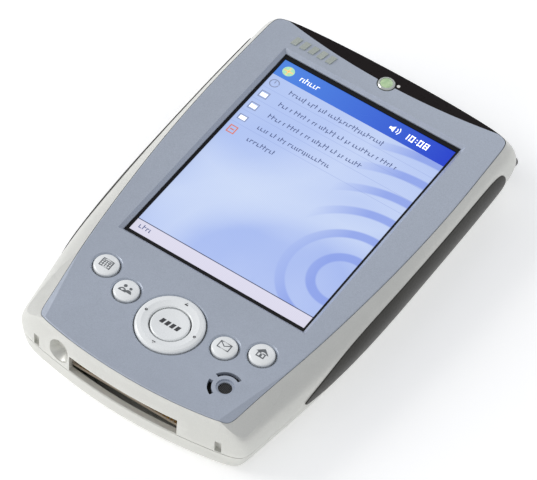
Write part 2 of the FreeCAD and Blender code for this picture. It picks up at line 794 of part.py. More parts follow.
def build_board():
    subpart("main_board", feature("MainBoard", make_board()))
    side = "sizes.processor_side"
    processor = box("Processor", side, side, "sizes.processor_thick", "-15", "6", CHIP_SEAT)
    subpart("processor_chip", processor)
    chips = [box(f"Memory{index}", "sizes.memory_width", "sizes.memory_length", "sizes.memory_thick",
                 str(x), "-12", CHIP_SEAT) for index, x in enumerate(MEMORY_X)]
    subpart("memory_chips", group("MemoryChips", *chips))
    build_shield_can()
    cell = rod("BackupCell", "sizes.cell_radius", "sizes.cell_thick", "-24", "-27", CHIP_SEAT)
    subpart("backup_cell", cell)
    finger_low = "sizes.board_level - sizes.finger_height - sizes.solder_gap"
    fingers = [box(f"BatteryFinger{index}", "sizes.finger_width", "sizes.finger_length",
                   "sizes.finger_height", str(x), "sizes.finger_y", finger_low)
               for index, x in enumerate(FINGER_X)]
    subpart("battery_contacts", group("BatteryContacts", *fingers))
    subpart("ir_module", box("InfraRed", "9", "3", "2.2", "-14", "58.4", "12.9"))
    port = ("sizes.port_x", "sizes.port_y")
    can = rod("SpeakerCan", "sizes.speaker_radius", "sizes.speaker_thick", *port, "sizes.speaker_low")
    recess_low = "sizes.speaker_low + sizes.speaker_thick - sizes.speaker_recess"
    recess = rod("SpeakerRecess", "sizes.cone_radius", "1", *port, recess_low)
    subpart("speaker", cut("Speaker", can, recess))
    microphone = rod("Microphone", "sizes.microphone_radius", "sizes.microphone_thick",
                     "22.8", "-53.2", CHIP_SEAT)
    subpart("microphone", microphone)
    build_screws()


def build_shield_can():
    """A thin metal lid, open underneath."""
    can = DOC.addObject("PartDesign::Body", "ShieldCan")
    level = size("board_level") + size("board_thick") + size("solder_gap")
    base = body_sketch(can, "XY_Plane", "CanOutline", level)
    sketch_rectangle(base, "sizes.can_length", "sizes.can_width", "sizes.can_x", "sizes.can_y")
    pad(can, base, "CanPad", "sizes.can_height")
    inside = body_sketch(can, "XY_Plane", "CanInside", level)
    sketch_rectangle(inside, "sizes.can_length - 2 * sizes.can_wall",
                     "sizes.can_width - 2 * sizes.can_wall", "sizes.can_x", "sizes.can_y")
    pocket(can, inside, "CanPocket", "sizes.can_height - sizes.can_wall", upward=True)
    subpart("shield_can", can)


def build_screws():
    """Four small screws hold the board; four with six-sided drives hold the casing halves."""
    small = []
    for index, (x, y) in enumerate(BOARD_SCREWS):
        head = rod(f"BoardScrewHead{index}", "sizes.board_screw_head", "0.8", str(x), str(y), CHIP_SEAT)
        shank = rod(f"BoardScrewShank{index}", "sizes.board_screw_shank", "3", str(x), str(y),
                    "sizes.board_level - 1.8")
        small.append(fuse(f"BoardScrew{index}", head, shank))
    subpart("board_screws", group("BoardScrews", *small))
    large = []
    for index, (x, y) in enumerate(SCREW_PLACES):
        head = rod(f"CaseScrewHead{index}", "sizes.screw_head_radius", "1.3", str(x), str(y), "1.05")
        shank = rod(f"CaseScrewShank{index}", "sizes.screw_shank_radius - 0.18", "9", str(x), str(y), "2.2")
        drive = DOC.addObject("Part::Prism", f"CaseScrewDrive{index}")
        drive.Polygon = 6
        bind(drive, Circumradius="0.9", Height="1")
        place(drive, str(x), str(y), "0.6")
        large.append(cut(f"CaseScrew{index}", fuse(f"CaseScrewBlank{index}", head, shank), drive))
    subpart("case_screws", group("CaseScrews", *large))


def build_sockets():
    half = size("sync_shell_half")
    front = size("sync_front_y")
    back = size("sync_back_y")
    low = size("sync_shell_low")
    high = size("sync_shell_high")
    wall = size("sync_wall")
    shell = block(-half, half, front, back, low, high)
    hollow = block(-half + 0.6, half - 0.6, front - 2, back - 1, low + wall, high - wall / 2)
    subpart("sync_connector", feature("SyncConnector", shell.cut(hollow)))
    pitch = size("sync_pitch")
    floor = low + wall + 0.02
    fingers = []
    for index in range(26):
        x = (index - 12.5) * pitch
        fingers.append(block(x - 0.3, x + 0.3, front + 0.1, back - 1.05, floor, floor + 0.28))
    subpart("sync_contacts", feature("SyncContacts", Part.makeCompound(fingers)))
    x = size("inlet_x")
    z = size("inlet_z")
    front = size("inlet_front_y")
    back = size("inlet_back_y")
    jack = block(x - size("inlet_left"), x + size("inlet_right"), front, back,
                 size("inlet_low"), size("inlet_high"))
    jack = jack.cut(along_y(size("inlet_radius"), x, z, front - 6, back - 1.8))
    pin = along_y(size("inlet_pin_radius"), x, z, front - 0.3, back - 1.6)
    subpart("power_inlet", feature("PowerInlet", jack.fuse(pin)))
    x = size("phone_x")
    z = size("phone_z")
    half = size("phone_half")
    inner = size("phone_inner_y")
    outer = size("phone_outer_y")
    nose_low = outer - 2.5
    body = block(x - half, x + half, inner, nose_low, z - half + 0.4, z + half - 0.5)
    body = body.fuse(along_y(size("phone_nose_radius"), x, z, nose_low - 0.1, outer))
    body = body.cut(along_y(size("phone_radius"), x, z, inner + 1.1, outer + 3))
    subpart("headphone_jack", feature("HeadphoneJack", body))
    build_card_sockets()


def build_card_sockets():
    """A metal cage for the large card with a channel for the eject rod, and a small card socket."""
    gap = size("card_gap")
    wall = size("cf_cage_wall")
    half = size("cf_width") / 2
    low = size("cf_low")
    high = low + size("cf_thick")
    inner_y = size("cf_inner_y")
    eject_x = size("eject_x")
    channel_half = size("eject_half") + 0.8
    outer = block(-half - gap - wall, eject_x + channel_half + 0.4, inner_y - 3, 60.4, low - 0.6, high + 0.55)
    inner = block(-half - gap, half + gap, inner_y, 62, low - gap, high + gap)
    channel = block(eject_x - channel_half - 0.1, eject_x + channel_half, 19, 62, low - gap, high + gap)
    subpart("cf_cage", feature("CfCage", outer.cut([inner, channel])))
    mid = size("sd_x")
    half = size("sd_width") / 2
    low = size("sd_low")
    high = low + size("sd_thick")
    wall = size("sd_wall")
    inner_y = size("sd_inner_y")
    outer = block(mid - half - gap - wall, mid + half + gap + wall, inner_y - 1.6, 60.0,
                  low - 0.43, high + 0.42)
    inner = block(mid - half - gap, mid + half + gap, inner_y, 62, low - gap, high + gap)
    subpart("sd_socket", feature("SdSocket", outer.cut(inner)))


# ---------------------------------------------------------------- face controls

def build_app_buttons():
    cap = size("app_cap_radius")
    flange = size("app_flange_radius")
    low = size("key_flange_low")
    high = size("key_flange_high")
    outline = [(0, low), (flange, low), (flange, high), (cap, high), (cap, 17.25),
               (cap - 0.12, 17.45), (cap - 0.4, 17.6), (cap - 1.2, 17.78), (cap - 2.2, 17.9), (0, 17.95)]
    for label, side, ring in APP_BUTTONS:
        body = DOC.addObject("PartDesign::Body", label)
        sketch = body_sketch(body, "XZ_Plane", label + "Profile")
        for start, end in zip(outline, outline[1:] + outline[:1]):
            sketch.addGeometry(Part.LineSegment(VECTOR(*start, 0), VECTOR(*end, 0)), False)
        made = body.newObject("PartDesign::Revolution", label + "Turn")
        made.Profile = sketch
        made.ReferenceAxis = (sketch, ["V_Axis"])
        made.Angle = 360.0
        DOC.recompute()
        body.setExpression("Placement.Base.x", f"{side} * sizes.{ring}_app_x")
        body.setExpression("Placement.Base.y", f"sizes.{ring}_app_y")
        subpart(label, body)


def revolve(points, x, y):
    """A solid turned about the upright line through (x, y)."""
    path = [VECTOR(radius, 0, z) for radius, z in points]
    face = Part.Face(Part.makePolygon(path + [path[0]]))
    turned = face.revolve(VECTOR(0, 0, 0), UP, 360)
    turned.translate(VECTOR(x, y, 0))
    return turned


def round_pin(x, y, z, direction, start, end, radius):
    """A short level pin or bore that runs from start to end along direction."""
    way = VECTOR(*direction)
    return Part.makeCylinder(radius, end - start, VECTOR(x, y, z) + way * start, way)


def build_nav_pad():
    """The pad tilts on a gimbal ring: pins along X carry the pad, pins along Y sit in two posts."""
    y = size("nav_mid_y")
    pivot_z = size("nav_pivot_z")
    pin = size("nav_pin_radius")
    bore_radius = pin + size("nav_pin_gap")
    outer = size("nav_ring_radius")
    bore = size("nav_bore_radius")
    flange = size("nav_flange_radius")
    skirt = size("nav_flange_inner")
    low = size("key_flange_low") - 0.05
    high = size("key_flange_high") - 0.1
    ring = revolve([(skirt, low), (flange, low), (flange, high), (outer, high), (outer, 17.2),
                    (outer - 0.18, 17.55), (outer - 0.6, 17.78), (outer - 1.6, 17.9),
                    (bore + 1.2, 17.72), (bore + 0.25, 17.55), (bore, 17.3), (bore, 15.7),
                    (skirt, 15.7)], 0, y)
    across = [(-1, 0, 0), (1, 0, 0)]
    along = [(0, -1, 0), (0, 1, 0)]
    bores = [round_pin(0, y, pivot_z, way, skirt - 0.1, 8.5, bore_radius) for way in across]
    subpart("nav_ring", feature("NavRing", ring.cut(bores)))
    inner = size("gimbal_inner")
    rim = size("gimbal_outer")
    under = size("gimbal_low")
    over = size("gimbal_high")
    gimbal = revolve([(inner, under), (rim, under), (rim, over), (inner, over)], 0, y)
    pins = [round_pin(0, y, pivot_z, way, rim - 0.1, 8.3, pin) for way in across]
    pins += [round_pin(0, y, pivot_z, way, 5.4, inner + 0.1, pin) for way in along]
    subpart("nav_pivot", feature("NavPivot", gimbal.fuse(pins)))
    half_width = size("post_half_width")
    half_thick = size("post_half_thick")
    foot = size("mat_low") + size("mat_thick") + 0.02
    posts = []
    for way in along:
        middle = y + way[1] * size("post_middle")
        post = block(-half_width, half_width, middle - half_thick, middle + half_thick, foot, 15.2)
        posts.append(post.cut(round_pin(0, y, pivot_z, way, 5.0, inner + 0.1, bore_radius)))
    subpart("nav_posts", feature("NavPosts", Part.makeCompound(posts)))
    reach = size("nav_centre_radius")
    base = size("key_flange_low")
    centre = revolve([(0, base), (reach, base), (reach, 17.2), (reach - 0.3, 17.45),
                      (reach - 0.9, 17.4), (2.6, 17.2), (0, 17.12)], 0, y)
    subpart("nav_centre", feature("NavCentre", centre))


def build_power_button():
    """A round rim with a raised lens in it, and a small light guide beside it."""
    y = size("power_y")
    reach = size("power_radius")
    flange = size("power_flange_radius")
    lens = size("lens_radius")
    high = size("key_flange_high")
    button = revolve([(0, 14.0), (flange, 14.0), (flange, high), (reach, high), (reach, 17.25),
                      (reach - 0.3, 17.5), (lens + 0.05, 17.5), (lens + 0.05, 17.0), (0, 17.0)], 0, y)
    subpart("power_button", feature("PowerButton", button))
    crown = revolve([(0, 17.02), (lens, 17.02), (lens, 17.42), (lens - 0.5, 17.54), (0, 17.58)], 0, y)
    subpart("power_lens", feature("PowerLens", crown))
    light = upright(size("light_radius"), size("light_x"), y + size("light_rise"), high, 17.0)
    subpart("status_light", feature("StatusLight", light))


def build_button_pad():
    """One rubber mat with a plunger under each key, and a dome switch under each plunger."""
    y = size("nav_mid_y")
    low = size("mat_low")
    high = low + size("mat_thick")
    mat = block(-28.0, 28.0, -48.6, -31.2, low, high)
    mat = mat.fuse(block(-12.5, 12.5, -53.5, -48.5, low, high))
    places = [app_place(side, ring) for label, side, ring in APP_BUTTONS]
    places += [(0, y), (0, y + 7), (0, y - 7), (7, y), (-7, y)]
    plungers = [upright(size("plunger_radius"), px, py, size("plunger_low"), low + 0.1)
                for px, py in places]
    subpart("button_pad", feature("ButtonPad", mat.fuse(plungers)))
    floor = size("board_level") + size("board_thick") + size("solder_gap")
    reach = size("dome_radius")
    crown = floor + size("dome_height")
    domes = [revolve([(0, floor), (reach, floor), (reach - 0.7, crown - 0.2), (0, crown)], px, py)
             for px, py in places]
    subpart("dome_switches", feature("DomeSwitches", Part.makeCompound(domes)))


# ---------------------------------------------------------------- left edge and back controls

def build_jog():
    wheel = DOC.addObject("PartDesign::Body", "JogWheel")
    level = size("jog_z") - size("jog_thick") / 2
    disc = body_sketch(wheel, "XY_Plane", "JogDisc", level)
    sketch_circle(disc, "sizes.jog_radius")
    sketch_circle(disc, "sizes.jog_axle_radius + 0.05")
    pad(wheel, disc, "JogDiscPad", "sizes.jog_thick")
    notch = body_sketch(wheel, "XY_Plane", "JogNotch", level)
    sketch_circle(notch, "0.28", "sizes.jog_radius + 0.05")
    groove = pocket(wheel, notch, "JogGroove", "sizes.jog_thick + 1", upward=True)
    pattern = wheel.newObject("PartDesign::PolarPattern", "JogGrooves")
    pattern.Originals = [groove]
    pattern.Axis = (disc, ["N_Axis"])
    pattern.Angle = 360.0
    pattern.Occurrences = 28
    wheel.Tip = pattern
    DOC.recompute()
    wheel.setExpression("Placement.Base.x", "sizes.jog_x")
    wheel.setExpression("Placement.Base.y", "sizes.jog_y")
    subpart("jog_wheel", wheel)
    x = size("jog_x")
    carrier = [
        block(x - 1.5, -30.5, JOG_Y - 3.5, JOG_Y + 3.5, 7.55, 7.9),
        block(x - 1.5, -30.5, JOG_Y - 3.5, JOG_Y + 3.5, 11.7, 12.05),
        block(-31.1, -30.5, JOG_Y - 3.5, JOG_Y + 3.5, 7.6, 12.0),
        upright(size("jog_axle_radius"), x, JOG_Y, 7.7, 11.9),
    ]
    subpart("jog_carrier", feature("JogCarrier", carrier[0].fuse(carrier[1:])))


def build_small_buttons():
    """The record button in the left edge and the recessed reset button in the back."""
    reach = size("record_half")
    bar = block(-40.5, -38.2, RECORD_Y - reach, RECORD_Y + reach, 8.3, 11.1)
    rim = [edge for edge in bar.Edges if edge.BoundBox.XMax < -40.4]
    bar = bar.makeFillet(0.6, rim)
    reach = size("record_flange_half")
    flange = block(-38.45, -37.8, RECORD_Y - reach, RECORD_Y + reach, 7.7, 11.7)
    subpart("record_button", feature("RecordButton", bar.fuse(flange)))
    stem = size("reset_radius")
    collar = stem + 0.8
    reset = revolve([(0, 0.8), (stem, 0.8), (stem, 1.75), (collar, 1.75), (collar, 2.4), (stem, 2.4),
                     (stem, 7.6), (0, 7.6)], size("reset_x"), size("latch_y") + 1.0)
    subpart("reset_button", feature("ResetButton", reset))


# ---------------------------------------------------------------- stylus, cards and battery

def leaned(shape):
    shape.Placement = stylus_placement().multiply(shape.Placement)
    return shape


def build_stylus():
    radius = size("stylus_radius")
    length = size("stylus_length")
    grip_end = -13.0
    nib_end = -length + 11.0
    y_axis = VECTOR(0, 1, 0)
    cap = Part.makeCylinder(radius, -grip_end + 0.7, VECTOR(0, grip_end, 0), y_axis)
    rim = [edge for edge in cap.Edges if edge.BoundBox.YMin > 0.6]
    cap = cap.makeFillet(0.6, rim)
    subpart("stylus_cap", feature("StylusCap", leaned(cap)))
    barrel = Part.makeCylinder(radius - 0.12, grip_end - nib_end - 0.04,
                               VECTOR(0, nib_end + 0.02, 0), y_axis)
    subpart("stylus_barrel", feature("StylusBarrel", leaned(barrel)))
    tip = Part.makeCone(0.45, radius - 0.15, 10.0, VECTOR(0, -length + 1.0, 0), y_axis)
    point = Part.makeSphere(0.46, VECTOR(0, -length + 1.0, 0))
    subpart("stylus_tip", feature("StylusTip", leaned(tip.fuse(point))))
    wall = size("silo_wall")
    tube_low = -length - 1.0
    tube = Part.makeCylinder(radius + wall, length - 3.0, VECTOR(0, tube_low, 0), y_axis)
    bore = Part.makeCylinder(radius + 0.12, length + 9, VECTOR(0, tube_low + 0.6, 0), y_axis)
    subpart("stylus_silo", feature("StylusSilo", leaned(tube.cut(bore))))


def build_cards():
    """Blank cards fill both slots; a rod beside the large one pushes it out."""
    half = size("cf_width") / 2
    low = size("cf_low")
    high = low + size("cf_thick")
    back = size("cf_inner_y") + 0.3
    front = back + size("cf_length")
    card = block(-half, half, back, front, low, high)
    grip = block(-half + 0.3, half - 0.3, front - 0.1, 62.7, low + 0.2, high - 0.2)
    finger = block(-8, 8, 61.6, 63, high - 1.2, high + 1)
    subpart("cf_blank_card", feature("CfBlankCard", card.fuse(grip).cut(finger)))
    mid = size("sd_x")
    half = size("sd_width") / 2
    low = size("sd_low")
    high = low + size("sd_thick")
    back = size("sd_inner_y") + 0.3
    blank = block(mid - half, mid + half, back, back + size("sd_length"), low, high)
    side = mid + half
    notch = [VECTOR(side + 1, back - 1.3, low - 1), VECTOR(side - 4, back - 0.1, low - 1),
             VECTOR(side + 1, back + 4.7, low - 1), VECTOR(side + 1, back - 1.3, low - 1)]
    blank = blank.cut(Part.Face(Part.makePolygon(notch)).extrude(VECTOR(0, 0, 5)))
    subpart("sd_blank_card", feature("SdBlankCard", blank))
    x = size("eject_x")
    half = size("eject_half")
    low = size("eject_low")
    high = size("eject_high")
    bar = block(x - half, x + half, 24.0, 61.9, low, high)
    push = block(x - half - 0.4, x + half + 0.4, 60.6, 62.6, low - 0.4, high + 0.4)
    subpart("cf_eject_button", feature("CfEjectButton", bar.fuse(push)))


def build_battery():
    """A hollow case with its cell inside, four terminals on top and a latch above it."""
    high = size("battery_high_z")
    wall = size("battery_wall")
    case = battery_hole(0.0, 0.0, high)
    chamber = battery_hole(-wall - 0.2, wall, high - wall)
    grooves = [block(-9, 9, y - 0.35, y + 0.35, -1, 0.35) for y in (-12.0, -10.0, -8.0)]
    middle = size("finger_y")
    seats = [block(x - 1.1, x + 1.1, middle - 2, middle + 2, high - 0.3, high + 1) for x in FINGER_X]
    case = case.cut([chamber] + grooves + seats)
    subpart("battery_case", feature("BatteryCase", case))
    terminals = [block(x - 1.0, x + 1.0, middle - 1.9, middle + 1.9, high - 0.28, high) for x in FINGER_X]
    subpart("battery_terminals", feature("BatteryTerminals", Part.makeCompound(terminals)))
    cell = battery_hole(-wall - 0.5, wall + 0.2, high - wall - 0.2)
    subpart("battery_cell", feature("BatteryCell", cell))
    y = size("latch_y")
    half = size("latch_thumb_half")
    low = size("latch_flange_low")
    high = size("latch_flange_high")
    thumb = block(-half, half, y - 1.7, y + 2.1, 0.35, low + 0.05)
    half = size("latch_flange_half")
    flange = block(-half, half, y - 2.6, y + 2.6, low, high)
    tooth = block(-3.9, 3.9, -1.8, y - 2.0, low, high)
    ribs = [block(-4.2, 4.2, y + shift - 0.25, y + shift + 0.25, 0, 0.7) for shift in (-1.0, 0.2, 1.4)]
    latch = thumb.fuse([flange, tooth]).cut(ribs)
    subpart("battery_latch", feature("BatteryLatch", latch))


build_casings()
build_display()
build_board()
build_sockets()
build_app_buttons()
build_nav_pad()
build_power_button()
build_button_pad()
build_jog()
build_small_buttons()
build_stylus()
build_cards()
build_battery()


# ---------------------------------------------------------------- check and write

def check_and_write():
    DOC.recompute()
    for item in DOC.Objects:
        if "Invalid" in item.State or "Error" in item.State:
            raise RuntimeError(f"{item.Name} failed: {item.State}")
    os.makedirs("parts", exist_ok=True)
    total = FreeCAD.BoundBox()
    for item in SUBPARTS:
        shape = item.Shape
        if shape.isNull() or not shape.isValid() or not shape.Solids:
            raise RuntimeError(f"{item.Label} has no valid solid")
        total.add(shape.optimalBoundingBox(False))
        shape.exportStep(f"parts/{item.Label}.step")
    print(f"{len(SUBPARTS)} sub-parts, box {total}")


check_and_write()
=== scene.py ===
import math

import bmesh
import bpy
from mathutils import Matrix, Vector


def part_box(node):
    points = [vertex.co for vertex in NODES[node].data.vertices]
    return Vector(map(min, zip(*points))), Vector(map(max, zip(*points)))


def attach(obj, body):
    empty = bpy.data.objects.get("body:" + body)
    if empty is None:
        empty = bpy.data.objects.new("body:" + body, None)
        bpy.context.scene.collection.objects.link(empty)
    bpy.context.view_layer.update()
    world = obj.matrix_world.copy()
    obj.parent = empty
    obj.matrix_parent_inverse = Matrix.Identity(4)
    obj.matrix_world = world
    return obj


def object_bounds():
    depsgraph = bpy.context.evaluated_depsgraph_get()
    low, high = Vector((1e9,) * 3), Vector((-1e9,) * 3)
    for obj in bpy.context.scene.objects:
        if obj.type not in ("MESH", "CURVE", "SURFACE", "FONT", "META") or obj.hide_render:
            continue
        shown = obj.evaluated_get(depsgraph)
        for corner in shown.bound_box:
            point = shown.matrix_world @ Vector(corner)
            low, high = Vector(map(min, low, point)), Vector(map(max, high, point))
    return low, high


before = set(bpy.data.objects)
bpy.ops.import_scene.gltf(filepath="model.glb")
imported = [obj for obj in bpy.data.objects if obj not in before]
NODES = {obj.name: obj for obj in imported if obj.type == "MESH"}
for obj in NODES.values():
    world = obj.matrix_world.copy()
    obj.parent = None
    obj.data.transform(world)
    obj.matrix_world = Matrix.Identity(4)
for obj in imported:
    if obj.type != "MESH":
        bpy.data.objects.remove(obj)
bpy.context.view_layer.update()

# A pocket computer lying on its back, in metres: +Z out of the screen, +Y towards its top end.
MM = 0.001


# ---------------------------------------------------------------- camera, light and floor

CAMERA_PLACE = Vector((279.8, -480.1, 702.6)) * MM
CAMERA_AZIMUTH = math.radians(30.14)
CAMERA_ELEVATION = math.radians(51.35)
CAMERA_ROLL = math.radians(5.12)
SENSOR_WIDTH = 36.0
LENS = 231.6


def make_camera():
    """The camera looks down on the device from its lower right, slightly rolled."""
    azimuth = CAMERA_AZIMUTH
    elevation = CAMERA_ELEVATION
    back = Vector((math.sin(azimuth) * math.cos(elevation),
                   -math.cos(azimuth) * math.cos(elevation),
                   math.sin(elevation)))
    level_right = Vector((math.cos(azimuth), math.sin(azimuth), 0))
    level_up = back.cross(level_right)
    right = level_right * math.cos(CAMERA_ROLL) + level_up * math.sin(CAMERA_ROLL)
    up = level_up * math.cos(CAMERA_ROLL) - level_right * math.sin(CAMERA_ROLL)
    data = bpy.data.cameras.new("camera")
    data.lens = LENS
    data.sensor_width = SENSOR_WIDTH
    data.clip_start = 0.01
    data.clip_end = 20.0
    camera = bpy.data.objects.new("camera", data)
    turn = Matrix((right, up, back)).transposed().to_4x4()
    camera.matrix_world = Matrix.Translation(CAMERA_PLACE) @ turn
    bpy.context.scene.collection.objects.link(camera)
    bpy.context.scene.camera = camera


def area_light(name, place, target, width, height, power, colour):
    data = bpy.data.lights.new(name, "AREA")
    data.shape = "RECTANGLE"
    data.size = width
    data.size_y = height
    data.energy = power
    data.color = colour
    light = bpy.data.objects.new(name, data)
    light.location = place
    aim = Vector(target) - Vector(place)
    light.rotation_euler = aim.to_track_quat("-Z", "Y").to_euler()
    bpy.context.scene.collection.objects.link(light)


def make_stage():
    """A pale, faintly glowing floor and soft light, brightest from the left."""
    mesh = bpy.data.meshes.new("floor")
    reach = 3.0
    corners = [(-reach, -reach, 0), (reach, -reach, 0), (reach, reach, 0), (-reach, reach, 0)]
    mesh.from_pydata(corners, [], [(0, 1, 2, 3)])
    floor = bpy.data.objects.new("floor", mesh)
    floor.location.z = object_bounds()[0][2] - 0.00005
    bpy.context.scene.collection.objects.link(floor)
    floor.data.materials.append(floor_material())
    area_light("key", (-0.85, -0.30, 0.50), (0, 0, 0), 0.6, 0.5, 5.0, (1.0, 0.99, 0.98))
    area_light("back", (0.10, 0.85, 0.60), (0, 0, 0), 0.8, 0.5, 1.6, (0.97, 0.98, 1.0))
    area_light("front", (0.10, -0.85, 0.32), (0, -0.03, 0), 0.9, 0.35, 1.3, (1.0, 0.98, 0.94))
    world = bpy.data.worlds.new("studio")
    bpy.context.scene.world = world
    world.use_nodes = True
    sky = world.node_tree.nodes["Background"]
    sky.inputs["Color"].default_value = (0.93, 0.95, 1.0, 1.0)
    sky.inputs["Strength"].default_value = 0.52
    bpy.context.scene.view_settings.view_transform = "Standard"


def floor_material():
    material = Graph("floor_paper")
    tone = material.noise(12.0, 2.0)
    material.set_input("Base Color", material.mix(tone, (0.965, 0.965, 0.96, 1), (0.985, 0.985, 0.98, 1)))
    material.value("Roughness", 0.9)
    material.value("Emission Color", (1.0, 1.0, 0.99, 1.0))
    material.value("Emission Strength", 0.27)
    return material.done()


# ---------------------------------------------------------------- material graphs

class Graph:
    """A node material under construction. Positions are the object's own, in metres."""

    def __init__(self, name):
        self.material = bpy.data.materials.new(name)
        self.material.use_nodes = True
        self.nodes = self.material.node_tree.nodes
        self.links = self.material.node_tree.links
        self.shader = self.nodes["Principled BSDF"]
        self.place = self.nodes.new("ShaderNodeTexCoord").outputs["Object"]

    def link(self, source, target):
        self.links.new(source, target)

    def set_input(self, name, source):
        self.link(source, self.shader.inputs[name])

    def value(self, name, number):
        self.shader.inputs[name].default_value = number

    def noise(self, scale, detail=3.0, roughness=0.5):
        node = self.nodes.new("ShaderNodeTexNoise")
        node.inputs["Scale"].default_value = scale
        node.inputs["Detail"].default_value = detail
        node.inputs["Roughness"].default_value = roughness
        self.link(self.place, node.inputs["Vector"])
        return node.outputs["Fac"]

    def cells(self, scale):
        node = self.nodes.new("ShaderNodeTexVoronoi")
        node.inputs["Scale"].default_value = scale
        self.link(self.place, node.inputs["Vector"])
        return node.outputs["Distance"]

    def math(self, operation, first, second=None, clamp=False):
        node = self.nodes.new("ShaderNodeMath")
        node.operation = operation
        node.use_clamp = clamp
        for index, source in enumerate((first, second)):
            if source is None:
                continue
            if isinstance(source, (int, float)):
                node.inputs[index].default_value = source
            else:
                self.link(source, node.inputs[index])
        return node.outputs[0]

    def mix(self, share, first, second):
        node = self.nodes.new("ShaderNodeMix")
        node.data_type = "RGBA"
        if isinstance(share, (int, float)):
            node.inputs["Factor"].default_value = share
        else:
            self.link(share, node.inputs["Factor"])
        for socket, source in ((node.inputs[6], first), (node.inputs[7], second)):
            if isinstance(source, tuple):
                socket.default_value = source
            else:
                self.link(source, socket)
        return node.outputs[2]

    def spread(self, source, low, high, from_low=0.3, from_high=0.7):
        node = self.nodes.new("ShaderNodeMapRange")
        node.inputs["From Min"].default_value = from_low
        node.inputs["From Max"].default_value = from_high
        node.inputs["To Min"].default_value = low
        node.inputs["To Max"].default_value = high
        self.link(source, node.inputs["Value"])
        return node.outputs["Result"]

    def axes(self):
        node = self.nodes.new("ShaderNodeSeparateXYZ")
        self.link(self.place, node.inputs["Vector"])
        return node.outputs["X"], node.outputs["Y"], node.outputs["Z"]

    def bump(self, height, strength, distance):
        node = self.nodes.new("ShaderNodeBump")
        node.inputs["Strength"].default_value = strength
        node.inputs["Distance"].default_value = distance
        self.link(height, node.inputs["Height"])
        self.set_input("Normal", node.outputs["Normal"])

    def wear_and_highlight_edges(self):
        """Near 1 on outward edges, 0 on flats and hollows."""
        node = self.nodes.new("ShaderNodeNewGeometry")
        return self.spread(node.outputs["Pointiness"], 0.0, 1.0, 0.52, 0.60)

    def done(self):
        return self.material


def shade(colour, factor):
    return tuple(min(1.0, part * factor) for part in colour[:3]) + (1.0,)


def lacquer(name, colour, metallic, roughness, coat=0.2, flake=0.10, edge_wear_and_highlight=0.25):
    """Metallic paint on moulded plastic: fine flake, slow tone drift, and lighter edges that are partly
    worn paint and partly a painted highlight.
    """
    graph = Graph(name)
    flakes = graph.noise(5200.0, 2.0, 0.6)
    drift = graph.noise(45.0, 3.0)
    base = graph.mix(graph.spread(flakes, 0.0, 1.0), shade(colour, 1 - flake), shade(colour, 1 + flake))
    base = graph.mix(graph.spread(drift, 0.0, 0.35), base, shade(colour, 0.93))
    # Painted highlight: edges are lightened partly as worn paint and partly to stand in for the bright
    # light caught on bevels.
    worn_and_highlit = graph.math("MULTIPLY", graph.wear_and_highlight_edges(), edge_wear_and_highlight, True)
    graph.set_input("Base Color", graph.mix(worn_and_highlit, base, shade(colour, 1.35)))
    rough = graph.spread(graph.noise(380.0, 4.0), roughness - 0.05, roughness + 0.06)
    graph.set_input("Roughness", rough)
    graph.value("Metallic", metallic)
    graph.value("Coat Weight", coat)
    graph.value("Coat Roughness", 0.18)
    graph.bump(flakes, 0.12, 0.00002)
    return graph.done()


def plastic(name, colour, roughness, grain=0.3, grain_scale=2600.0, coat=0.0, spread=0.12):
    """Moulded plastic with a spark-eroded grain and a slight change of tone."""
    graph = Graph(name)
    grain_height = graph.noise(grain_scale, 3.0, 0.6)
    drift = graph.noise(70.0, 3.0)
    base = graph.mix(graph.spread(drift, 0.0, 1.0), shade(colour, 1 - spread), shade(colour, 1 + spread))
    graph.set_input("Base Color", base)
    rough = graph.spread(graph.noise(500.0, 4.0), max(0.03, roughness - 0.06), roughness + 0.07)
    graph.set_input("Roughness", rough)
    graph.value("Coat Weight", coat)
    graph.value("Coat Roughness", 0.08)
    graph.bump(grain_height, grain, 0.00003)
    return graph.done()


def dull(material, level):
    """Weaken a material's mirror reflection."""
    material.node_tree.nodes["Principled BSDF"].inputs["Specular IOR Level"].default_value = level
    return material


def rubber(name, colour):
    """Matt rubber: pebbled skin, paler on worn edges and where dust settles."""
    graph = Graph(name)
    pebbles = graph.cells(1900.0)
    fine = graph.noise(5200.0, 3.0, 0.6)
    dust = graph.noise(120.0, 5.0, 0.65)
    base = graph.mix(graph.spread(dust, 0.0, 0.5, 0.45, 0.75), shade(colour, 1.0), shade(colour, 1.7))
    worn_and_highlit = graph.math("MULTIPLY", graph.wear_and_highlight_edges(), 0.3, True)
    graph.set_input("Base Color", graph.mix(worn_and_highlit, base, shade(colour, 2.2)))
    graph.set_input("Roughness", graph.spread(fine, 0.55, 0.75))
    height = graph.math("ADD", graph.math("MULTIPLY", pebbles, 0.8), graph.math("MULTIPLY", fine, 0.4))
    graph.bump(height, 0.5, 0.00006)
    graph.value("Sheen Weight", 0.15)
    return graph.done()


def metal(name, colour, roughness, brushed=(1.0, 18.0, 1.0)):
    """Rolled or plated metal, with grain stretched along one axis and small stains."""
    graph = Graph(name)
    stretch = graph.nodes.new("ShaderNodeMapping")
    stretch.inputs["Scale"].default_value = brushed
    graph.link(graph.place, stretch.inputs["Vector"])
    grain = graph.nodes.new("ShaderNodeTexNoise")
    grain.inputs["Scale"].default_value = 900.0
    grain.inputs["Detail"].default_value = 4.0
    graph.link(stretch.outputs["Vector"], grain.inputs["Vector"])
    stain = graph.noise(160.0, 5.0, 0.6)
    base = graph.mix(graph.spread(stain, 0.0, 0.6), shade(colour, 1.06), shade(colour, 0.82))
    graph.set_input("Base Color", base)
    graph.value("Metallic", 1.0)
    graph.set_input("Roughness", graph.spread(grain.outputs["Fac"], roughness - 0.08, roughness + 0.1))
    graph.bump(grain.outputs["Fac"], 0.15, 0.00002)
    return graph.done()


# ---------------------------------------------------------------- display picture

